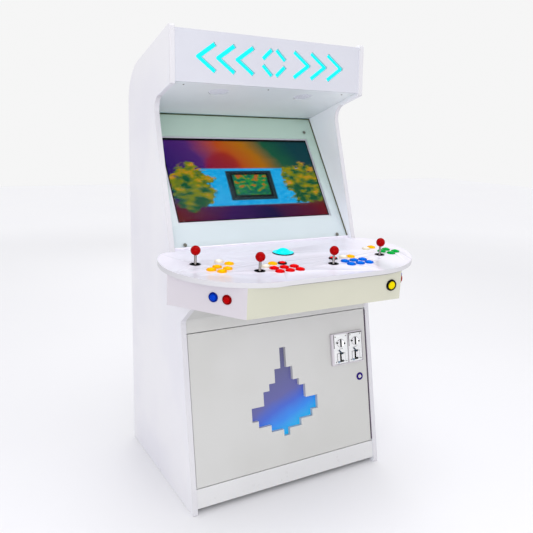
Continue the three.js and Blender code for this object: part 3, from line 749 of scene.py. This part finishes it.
for node, (slotName, width) in boards.items():
    body = "door" if node == "service_door" else "cabinet"
    data = softCopy(node, width)
    settle(node + "_board", data, body, mixedLooks.get(node, [finishes[slotName]]), [node])
    if node in sidePanels:
        # painted light on the inner faces, painted shade on the front edges
        recoloured(data, across * sidePanels[node], (0.9, 1.1), 1)
        recoloured(data, Vector((0, -1, 0)), (0.3, 1.1), 2)
    if node == "trackball_housing":
        centre = Vector(joints["trackball_roll"]["pos_m"])
        level = reach("control_panel", deckUp) + litRim["above"] * mm
        for polygon in data.polygons:
            offset = polygon.center - centre
            away = (offset - deckUp * offset.dot(deckUp)).length
            if polygon.center.dot(deckUp) > level and away < litRim["radius"] * mm:
                polygon.material_index = 1
    if node == "control_panel":
        # the deck's edge faces take the darker edge material: painted shade
        recoloured(data, deckUp, (-0.4, 0.55), 1)
        for polygon in data.polygons:        # the flat top between the holes takes no blended normals
            polygon.use_smooth = abs(polygon.normal.dot(deckUp)) < 0.9999
    if node == "control_box":
        recoloured(data, jointUp("front_button"), (0.85, 1.1), 1)

for node, slotName in {"screen_glass": "screen_glass", "marquee_diffuser": "cyan_lit_acrylic",
                       "door_diffuser": "blue_lit_ribbed_sheet",
                       **{f"player_{n}_pivot_ring": "pivot_steel" for n in (1, 2, 3, 4)}}.items():
    data = frame["nodes"][node].data
    data.materials.clear()
    data.materials.append(finishes[slotName])
print("boards done")


# screen: picture, printed border, edge line and screws

screen = faceOf("screen_glass", (0, -1, 0.7))


def addScreen():
    size = {"picture": (-349.0, 349.0, -505.6, -113.6), "glass": (-399.2, 399.2, -617.0, -0.4),
            "window": (-357.0, 352.0, -514.0, -111.0), "monitorFace": -15.0, "glassBack": -5.2,
            "screwX": 348, "screwY": (-78, -607)}
    x0, x1, y0, y1 = size["picture"]
    face = size["monitorFace"]
    data = slab((x0, x1), (y0, y1), (face + 0.15, face + 1.2), 0)
    uvs = data.uv_layers.new(name="picture")
    for loop in data.loops:
        corner = data.vertices[loop.vertex_index].co
        uvs.data[loop.index].uv = ((corner.x / mm - x0) / (x1 - x0), (corner.y / mm - y0) / (y1 - y0))
    data.transform(screen)
    settle("screen_picture", data, "cabinet", [pictureLight])
    mask = rim((x0 - 16, x1 + 16, y0 - 16, y1 + 14), (x0, x1, y0, y1), (face + 0.15, face + 2.0), 0.3)
    mask.transform(screen)
    settle("picture_mask", mask, "cabinet", [finishes["white_deck"]])
    back = size["glassBack"]
    border = rim(size["glass"], size["window"], (back - 0.5, back), 0)
    border.transform(screen)
    settle("printed_border", border, "cabinet", [borderPrint])
    gx0, gx1, gy0, gy1 = size["glass"]
    edge = rim((gx0, gx1, gy0, gy1), (gx0 + 1.8, gx1 - 1.8, gy0 + 0.2, gy1 - 2.2), (-5.0, 0.25), 0)
    edge.transform(screen)
    settle("glass_edge", edge, "cabinet", [oliveEdge])
    places = [(side * size["screwX"], y, 0.0) for side in (-1, 1) for y in size["screwY"]]
    heads = grown(screws, places, screwSteel, Radius=5.0 * mm, Height=2.6 * mm)
    washers = grown(collars, places, screwSteel, Outer=7.6 * mm, Inner=4.0 * mm, Height=0.9 * mm)
    settleParts("glass_screws", "cabinet",
                [(heads, screwSteel, screen), (washers, screwSteel, screen)])


addScreen()


# speakers: perforated discs flush with the panel

def addSpeakers():
    size = {"mouth": 39.7, "drop": 1.0, "pitch": 4.2, "hole": 1.1, "edge": 3, "coneDepth": 42,
            "screwX": (-352, -3, 346), "screwBack": 30}
    panel = faceOf("speaker_panel", (0, -0.4, -0.9))
    rows = range(-9, 10)
    holes = [((column + (row % 2) / 2) * size["pitch"], row * size["pitch"] * 0.866, 0.05)
             for row in rows for column in rows]
    holes = [hole for hole in holes if math.hypot(hole[0], hole[1]) < size["mouth"] - size["edge"]]
    inverse = panel.inverted()
    for node in ("left_speaker", "right_speaker"):
        centre = inverse @ middle(node)
        place = panel @ Matrix.Translation((centre.x, centre.y, -size["drop"] * mm))
        disc = lathe([[0, 0], [size["mouth"] - 2, 0], [size["mouth"] - 0.6, -0.3], [size["mouth"], -1.2],
                      [size["mouth"], -3], [0, -3]], 64)
        mesh = grown(dots, holes, grilleHoleShade, Radius=size["hole"] * mm, Height=0.2 * mm)
        settleParts(node + "_grille", "cabinet",
                    [(disc, grilleCloth, place), (mesh, grilleHoleShade, place)])
        cone = lathe([[0, 30], [26, 40], [27, 26], [48, 5], [48, 0], [44, -0.2], [42, 1.5], [40, 1.0],
                      [38, 4], [24, 10], [22, 12], [12, 7], [0, 5]], 56)
        cone.flip_normals()
        levels = [(inverse @ vertex.co).z for vertex in frame["nodes"][node].data.vertices]
        top = max(levels)
        cone.transform(Matrix.Diagonal((1, 1, (min(levels) - top) / (size["coneDepth"] * mm), 1)))
        cone.transform(panel @ Matrix.Translation((centre.x, centre.y, top)))
        settle(node + "_cone", cone, "cabinet", [finishes["speaker_cone"]], [node])
    places = [(x, -size["screwBack"], 0.0) for x in size["screwX"]]
    heads = grown(screws, places, screwSteel, Radius=3.6 * mm, Height=1.6 * mm)
    heads.transform(panel)
    settle("speaker_screws", heads, "cabinet", [screwSteel])


addSpeakers()
print("screen and speakers done")


# control deck

deck = faceOf("control_panel", (0, 0, 1))
deckRear = 6                                # from the deck's rear edge to its own middle line
deck = deck @ at(0, -deckRear)


def addSill():
    # the strip that closes the joint between the deck's rear edge and the foot of the glass
    size = {"half": 399.2, "soft": 0.4, "profile": [
        (6.5, -14), (24, -14), (24, -3), (16.6, 2.4), (13.3, 5.5), (12.9, 7.4), (9.5, 7.6), (6.5, 5.0)]}
    shape = bmesh.new()
    ends = [[shape.verts.new((x * mm, y * mm, z * mm)) for y, z in size["profile"]]
            for x in (-size["half"], size["half"])]
    for k in range(len(ends[0])):
        n = (k + 1) % len(ends[0])
        shape.faces.new((ends[0][k], ends[0][n], ends[1][n], ends[1][k]))
    shape.faces.new(ends[0])
    shape.faces.new(ends[1])
    bmesh.ops.recalc_face_normals(shape, faces=shape.faces)
    data = softened(toMesh(shape), size["soft"])
    data.transform(deck)
    settle("deck_sill", data, "cabinet", [finishes["white_deck"]])


addSill()


def capProfile(radius, rise, depth=15.0, crown=4.8):
    arc = [[radius * math.sin(angle), rise - crown + crown * math.cos(angle)]
           for angle in (math.radians(step) for step in range(78, 0, -13))]
    return [[0, -depth], [radius - 1.5, -depth], [radius, -depth + 1.5], [radius, rise - crown - 0.6],
            *arc, [0, rise]]


def pressedCap(name, body, board, look, radius=11.9, rise=9.0, nodes=(), paint=None):
    data = lathe(capProfile(radius, rise), 40)
    data.transform(axisPlace(body, board))
    settle(name, data, body, [paint or finishes[look]], nodes)


playerLooks = {1: ("red_button", 6), 2: ("blue_button", 6), 3: ("yellow_button", 4), 4: ("green_button", 4)}
collar = {"outer": 17.2, "inner": 12.0, "height": 5.2}
frontButton = {"radius": 15.0, "rise": 10.5, "collar": {"outer": 21.6, "inner": 15.2, "height": 8.4}}


def collarRing(material, size):
    return grown(collars, [(0, 0, 0)], material, Outer=size["outer"] * mm, Inner=size["inner"] * mm,
                 Height=size["height"] * mm)


def collarSet(name, places, material, size):
    # places are frames; one ring lies on each
    ring = collarRing(material, size)
    settleParts(name, "cabinet", [(ring, material, place) for place in places])


def addButtons():
    for player, (look, count) in playerLooks.items():
        places = []
        for k in range(1, count + 1):
            node = f"player_{player}_button_{k}"
            body = f"button_{player}_{k}"
            pressedCap(node + "_cap", body, "control_panel", look, nodes=[node])
            places.append(axisPlace(body, "control_panel"))
        collarSet(f"player_{player}_collars", places, shadedCollarLooks[look], collar)
    pressedCap("front_button_cap", "front_button", "control_box", "yellow_button", frontButton["radius"],
               frontButton["rise"], ["front_button"], lemonButton)
    collarSet("front_button_collar", [axisPlace("front_button", "control_box")], finishes["black_plastic"],
              frontButton["collar"])
    for side in ("left", "right"):
        for k, look in ((1, "red_button"), (2, "blue_button")):
            body = f"{side}_side_button_{k}"
            paint = shadedSideRed if look == "red_button" else shadedSideBlue
            pressedCap(body + "_cap", body, "control_box", look, nodes=[body], paint=paint)
            collarSet(body + "_collar", [axisPlace(body, "control_box")], shadedSideCollars[look], collar)


# small extra buttons that don't move: place on the deck, collar, cap
menuButtons = [
    (-173, -308, "cream", "white"), (-132, -283, "yellow", "yellow"), (-96, -289, "black", "red"),
    (124, -289, "black", "red"), (174, -283, "cream", "white"), (206, -287, "yellow", "yellow"),
    (-302, -195, "cream", "white"), (-281, -235, "yellow", "yellow"),
    (344, -200, "cream", "white"), (381, -186, "yellow", "yellow"),
]


def addMenuButtons():
    looks = {"white": whiteButton, "cream": creamRing, "yellow": finishes["yellow_button"],
             "red": finishes["red_button"], "black": finishes["black_plastic"]}
    size = {"radius": 11.9, "rise": 7.8, "lift": 1.0}
    for k, (x, y, ringLook, capLook) in enumerate(menuButtons):
        ring = collarRing(looks[ringLook], collar)
        cap = lathe(capProfile(size["radius"], size["rise"], size["lift"]), 40)
        place = deck @ at(x, y)
        settleParts(f"menu_button_{k + 1}", "cabinet", [
            (ring, looks[ringLook], place), (cap, looks[capLook], place @ at(0, 0, size["lift"]))])


def addSticks():
    size = {"pivot": -36.0, "ball": 17.5, "centre": 50.0, "shaft": 4.75, "washer": (20.0, 13.6, 1.5),
            "sleeve": (13.2, 13.6)}
    neck = math.asin(size["shaft"] / size["ball"])
    steps = 20
    turns = [neck + (math.pi - neck) * k / steps for k in range(steps + 1)]
    ball = [[size["ball"] * math.sin(a), size["centre"] - size["ball"] * math.cos(a)] for a in turns]
    ball[-1][0] = 0
    low = size["pivot"]
    shaft = [[0, low - 26], [4.2, low - 26], [4.75, low - 25.4], [4.75, low - 3], [8, low - 3], [8, low + 3],
             [4.75, low + 3], [4.75, 30.5], [4.1, 31.4], [4.1, ball[0][1] + 1], [0, ball[0][1] + 1]]
    outer, inner, height = size["washer"]
    disc = [[inner, 0.3], [outer - 1, 0.3], [outer, 0.9], [outer - 1.2, height], [inner + 1.4, height + 0.5],
            [inner, height]]
    sleeveIn, sleeveOut = size["sleeve"]
    sleeve = [[sleeveIn, -18.2], [sleeveOut, -18.2], [sleeveOut, 0.4], [sleeveIn, 0.4]]
    for player in (1, 2, 3, 4):
        centre = deck.inverted() @ Vector(joints[f"stick_{player}_side"]["pos_m"])
        place = deck @ Matrix.Translation((centre.x, centre.y, 0))
        parts = [(lathe([[0, ball[0][1]], *ball], 48), finishes["red_ball_top"], place),
                 (lathe(shaft, 28), shaftSteel, place)]
        node = f"player_{player}_stick"
        settleParts(node + "_top", f"stick_{player}", parts, [node])
        black = finishes["black_plastic"]
        settleParts(f"player_{player}_washer", "cabinet", [
            (lathe(disc, 48, ring=True), black, place), (lathe(sleeve, 48, ring=True), black, place)])


def addTrackball():
    size = {"radius": 38.1, "lip": 31.9, "glow": 39.4, "flange": 41.9, "rise": 4.4}
    centre = Vector(joints["trackball_roll"]["pos_m"])
    steps = 40
    turns = [math.pi * k / steps for k in range(steps + 1)]
    profile = [[size["radius"] * math.sin(a), -size["radius"] * math.cos(a)] for a in turns]
    profile[0][0] = profile[-1][0] = 0
    data = lathe(profile, 64)
    data.transform(placing(centre, deck.to_3x3() @ Vector((0, 0, 1))))
    settle("trackball_ball", data, "trackball", [finishes["cyan_ball"]], ["trackball"])
    local = deck.inverted() @ centre
    lip, glow, flange, rise = size["lip"], size["glow"], size["flange"], size["rise"]
    place = deck @ Matrix.Translation((local.x, local.y, 0))
    ring = lathe([[glow - 1, 0.3], [flange, 0.3], [flange - 0.4, 1.4], [flange - 1.4, 2.6],
                  [glow + 0.6, 3.0], [glow - 1, 2.6]], 64, ring=True)
    lit = lathe([[lip, 0.3], [glow - 0.6, 0.3], [glow - 0.4, 3.2], [glow - 2.0, rise - 0.5],
                 [lip + 2.5, rise + 0.1], [lip + 0.5, rise - 0.2], [lip, rise - 1.2]], 64, ring=True)
    settleParts("trackball_collar", "cabinet", [
        (ring, finishes["black_plastic"], place), (lit, finishes["cyan_ball"], place)])


addButtons()
addMenuButtons()
addSticks()
addTrackball()
print("control deck done")


# door: coin plates, lock and the ribbed sheet

door = faceOf("service_door", (0, -1, 0))
doorTop = 664                               # the door's top edge, measured up the lean from the floor
door = door @ at(0, -doorTop)


def addCoinPlates():
    size = {"plates": {"left": (228, 298), "right": (303, 371)}, "along": (449, 572), "proud": 9.0,
            "slotDrop": 37, "mouthRise": 27, "labelRise": 62, "screwInset": 9, "disc": 17.0,
            "frame": {"outer": (217, 374, 444.6, 576.4), "inner": (227.4, 371.6, 448.4, 572.6), "high": 11.6,
                      "bar": ((298.6, 302.4), (448.6, 572.4))}}
    low, high = size["along"]
    proud, wide, inset = size["proud"], size["disc"], size["screwInset"]
    steel = finishes["coin_plate_steel"]
    gap = (proud - 0.6, proud + 0.5)                        # the dark lines, painted shadow in the gaps round the plates, lie a little above the plates
    for side, (x0, x1) in size["plates"].items():
        face = door @ at((x0 + x1) / 2, high - size["slotDrop"], proud)
        pocket = door @ at((x0 + x1) / 2, low + size["mouthRise"], proud)
        label = door @ at((x0 + x1) / 2, low + size["labelRise"], proud)
        lean = pocket @ at(-4, 23) @ Matrix.Rotation(math.radians(40), 4, "Z")
        disc = lathe([[0, 0], [wide, 0], [wide, 1.2], [wide - 1.2, 2.2], [wide - 3, 1.8], [0, 1.8]], 48)
        outline = lathe([[16.6, 0.2], [17.9, 0.2], [17.9, 0.9], [16.6, 0.9]], 48, ring=True)
        studs = grown(dots, [(-17.5, 3, 2.2), (17.5, -3, 2.2)], recessShade, Radius=4.0 * mm, Height=1.6 * mm)
        hook = lathe([[0, 0], [4.5, 0], [4.5, 3.5], [3.8, 4.4], [0, 4.4]], 28)
        heads = [(x, y, proud) for y in (low + inset, high - inset) for x in (x0 + inset, x1 - inset)]
        heads = grown(screws, heads, screwSteel, Radius=2.6 * mm, Height=1.3 * mm)
        # the slot and the studs are near-black painted shade
        parts = [(softCopy(side + "_coin_plate", 0.6), steel, Matrix()), (disc, polishedSteel, face),
                 (outline, softShade, face), (slab((-3.1, 3.1), (-16, 16), (0, 3.0), 0.3), recessShade, face),
                 (studs, recessShade, face), (slab((-9, 9), (-1.0, 1.0), (0, 0.5), 0.2), labelPrint, label),
                 (slab((-2.6, 2.6), (-10.5, 10.5), (0, 4.0), 0.8), leverPlastic, lean),
                 (hook, hookPlastic, pocket @ at(-13.5, -18.5)),
                 (slab((x0 - 0.4, x0 + 3.2), (high - 56, high + 0.4), gap, 0), gapShade, door),
                 (slab((x1 - 1.6, x1 + 0.5), (low, high), gap, 0), softShade, door),
                 (heads, screwSteel, door)]
        for y0, y1 in ((16.8, 20.0), (-20.0, -16.8)):       # near-black lips above and below the mouth: painted shade of the pocket
            parts.append((slab((-7.5, 10.5), (y0, y1), (-0.6, 0.9), 0.4), recessShade, pocket))
        if side == "right":
            parts.append((slab((x0, x1), (high - 3.6, high + 0.4), gap, 0), gapShade, door))
        settleParts(side + "_coin_set", "door", parts, [side + "_coin_plate"])
        tongue = slab((0.5, 11), (-11.8, 11.8), (-1.5, 1.5), 0.8)      # bright plates beside the dark bar
        wings = [slab(span, (-15.6, 15.6), (-1.5, 1.2), 0.5) for span in ((-18.6, -7.5), (10.5, 18.6))]
        settleParts(side + "_coin_flap_plate", side + "_coin_flap", [
            (softCopy(side + "_coin_flap", 0.5), recessShade, Matrix()), (tongue, polishedSteel, pocket),
            *((wing, steel, pocket) for wing in wings)], [side + "_coin_flap"])
    frameSize = size["frame"]
    surround = rim(frameSize["outer"], frameSize["inner"], (0.3, frameSize["high"]), 1.2)
    bar = slab(*frameSize["bar"], (0.3, frameSize["high"] - 0.6), 0.6)
    # the surround takes the white painted in cool light
    settleParts("coin_surround", "door",
                [(surround, coolLitWhite, door), (bar, coolLitWhite, door)])


def addLock():
    size = {"radius": 9.0, "ring": (16.4, 9.3, 3.0), "back": -26.0}
    centre = door.inverted() @ Vector(joints["lock_turn"]["pos_m"])
    place = door @ Matrix.Translation((centre.x, centre.y, 0))
    radius, back = size["radius"], size["back"]
    barrel = lathe([[0, back], [radius, back], [radius, 1.2], [radius - 0.8, 2.2], [radius - 2.2, 2.5],
                    [radius - 2.8, 1.9], [0, 1.9]], 48)
    # the keyway is near-black painted shade
    keyway = slab((-1.0, 1.0), (-3.6, 3.6), (1.2, 2.3), 0.3)
    cam = slab((-6, 34), (-6, 6), (back, back + 4), 1.0)
    band = lathe([[7.4, 1.8], [8.9, 1.3], [8.9, 2.6], [7.4, 2.7]], 48, ring=True)
    parts = [(barrel, finishes["lock_steel"], place), (keyway, recessShade, place),
             (cam, finishes["lock_steel"], place), (band, violetRing, place)]
    settleParts("door_lock_barrel", "lock", parts, ["door_lock"])
    outer, inner, height = size["ring"]
    ring = lathe([[inner, 0.3], [outer, 0.3], [outer - 0.3, 1.4], [outer - 1.6, height],
                  [inner + 0.8, height], [inner, height - 0.7]], 48, ring=True)
    ring.transform(place)
    settle("door_lock_ring", ring, "door", [violetRing])


def addRibs():
    size = {"x": (-181.0, 171.0), "y": (190.0, 576.0), "pitch": 4.4, "radius": 1.5, "turn": 62,
            "shortest": 4, "sunk": 1.2}
    x0, x1 = size["x"]
    y0, y1 = size["y"]
    turn = math.radians(size["turn"])
    along = Vector((-math.sin(turn), math.cos(turn)))
    step = Vector((math.cos(turn), math.sin(turn)))
    corners = [Vector(corner) for corner in ((x0, y0), (x1, y0), (x1, y1), (x0, y1))]
    low = min(corner.dot(step) for corner in corners)
    high = max(corner.dot(step) for corner in corners)
    places, lengths = [], []
    offset = low + size["pitch"]
    while offset < high - size["pitch"] / 2:
        spans = []                          # where this rib's line meets the sheet's edges
        for axis, edges in ((0, (x0, x1)), (1, (y0, y1))):
            spans.append(sorted((edge - step[axis] * offset) / along[axis] for edge in edges))
        start = max(span[0] for span in spans)
        end = min(span[1] for span in spans)
        if end - start > size["shortest"]:
            centre = step * offset + along * (start + end) / 2
            places.append((centre.x, centre.y, 0))
            lengths.append((end - start) / 2)
        offset += size["pitch"]
    out = door.to_3x3() @ Vector((0, 0, 1))
    sheetFace = reach("door_diffuser", out) - door.translation.dot(out) - size["sunk"] * mm
    look = finishes["blue_lit_ribbed_sheet"]
    data = grown(ribs, places, look, lengths, Radius=size["radius"] * mm, Turn=turn)
    data.transform(door @ Matrix.Translation((0, 0, sheetFace)))
    settle("door_sheet_ribs", data, "door", [look])


def addDoorGapShade():
    # a dark strip behind the latch side of the door: painted shade of the gap there
    size = {"across": (395.4, 399.3), "along": (100, 660), "deep": (-16, 2.6), "soft": 0.5}
    gapStrip = slab(size["across"], size["along"], size["deep"], size["soft"])
    gapStrip.transform(door)
    settle("door_gap_shade", gapStrip, "cabinet", [doorGapShade])


addCoinPlates()
addLock()
addRibs()
addDoorGapShade()
print("door done")


# floor, light

def addFloor():
    data = bpy.data.meshes.new("floor")
    half = 14.0
    corners = [(-half, -half, 0), (half, -half, 0), (half, half, 0), (-half, half, 0)]
    data.from_pydata(corners, [], [(0, 1, 2, 3)])
    floor = bpy.data.objects.new("floor", data)
    bpy.context.scene.collection.objects.link(floor)
    made, start = newMaterial("floorPale")
    point = objectPoint(start)
    shade = cloud(start, point, 0.6).blend(tint(232, 232, 235), tint(229, 229, 233))
    x, y = axisOf(start, point, 0), axisOf(start, point, 1)
    away = x * x + y * y
    glow = away.ease(2.0, 60.0).blend(tint(0, 0, 0), tint(108, 108, 110))     # fades into the backdrop
    shader = skin(start, base=shade, rough=0.6, glow=glow, glowStrength=1.0)
    data.materials.append(closed(made, start, shader))


def addLight():
    lamps = {
        "keyLight": ((-3.0, -3.4, 1.7), (0.1, 0.1, 1.15), 2.6, 24, (0.97, 0.97, 1.0)),
        "fillLight": ((0.9, -4.5, 1.2), (0, 0, 1.2), 2.8, 28, (1.0, 0.99, 0.96)),
        "topLight": ((0.2, -0.8, 4.8), (0, -0.2, 0), 2.8, 58, (0.98, 0.97, 1.0)),
        "recessLight": ((-1.1, -1.9, 1.3), (0.4, 0.1, 1.25), 0.9, 6, (1.0, 1.0, 1.0)),
        "backLight": ((1.5, 4.2, 2.8), (0, 0, 1.0), 2.6, 24, (1.0, 1.0, 1.0)),
    }
    for name, (place, target, size, power, glow) in lamps.items():
        data = bpy.data.lights.new(name, "AREA")
        data.size = size
        data.energy = power
        data.color = glow
        lamp = bpy.data.objects.new(name, data)
        turn = (Vector(target) - Vector(place)).to_track_quat("-Z", "Y")
        lamp.matrix_world = Matrix.Translation(place) @ turn.to_matrix().to_4x4()
        bpy.context.scene.collection.objects.link(lamp)
    world = bpy.data.worlds.new("studio")
    world.use_nodes = True
    background = world.node_tree.nodes["Background"]
    background.inputs["Color"].default_value = (1.0, 1.0, 1.0, 1.0)
    background.inputs["Strength"].default_value = 0.92
    bpy.context.scene.world = world
    bpy.context.scene.view_settings.view_transform = "Standard"


addFloor()
addLight()

bpy.context.view_layer.update()
